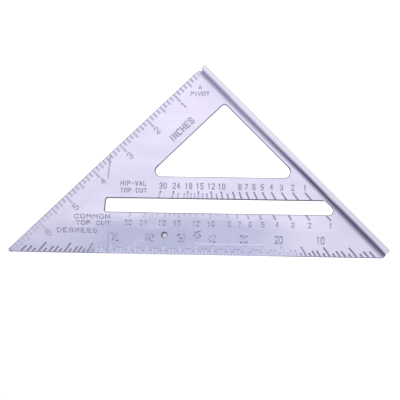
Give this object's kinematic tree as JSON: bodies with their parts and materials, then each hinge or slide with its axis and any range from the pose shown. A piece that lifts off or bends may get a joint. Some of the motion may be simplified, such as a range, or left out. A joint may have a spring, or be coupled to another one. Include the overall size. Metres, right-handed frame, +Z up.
{
  "type": "rafter square",
  "caption": "Cast aluminium triangular layout square with a T fence, hand opening, scribing slot and stamped inch, degree and rafter scales.",
  "frame": {"origin": "centre of the fence's outer face, which is the flat face the square stands on", "axes": "+Z up the ruler edge, square to the fence; X along the fence with the pivot corner at +X; the marked face looks along -Y"},
  "size_m": [0.1796, 0.022, 0.1833],
  "materials": {
    "cast_aluminium": "bare die casting, satin with glossy flow marks",
    "mark_residue": "dull grey oxide in the bottom of the stamped figures"
  },
  "bodies": {
    "root": {"blade": "cast_aluminium", "common_rafter_figures": "mark_residue", "common_rafter_words": "mark_residue", "degree_figures": "mark_residue", "degree_word": "mark_residue", "fence": "cast_aluminium", "hip_valley_figures": "mark_residue", "hip_valley_words": "mark_residue", "inch_figures": "mark_residue", "pivot_pointer": "mark_residue", "pivot_word": "mark_residue", "unit_word": "mark_residue"}
  },
  "joints": []
}
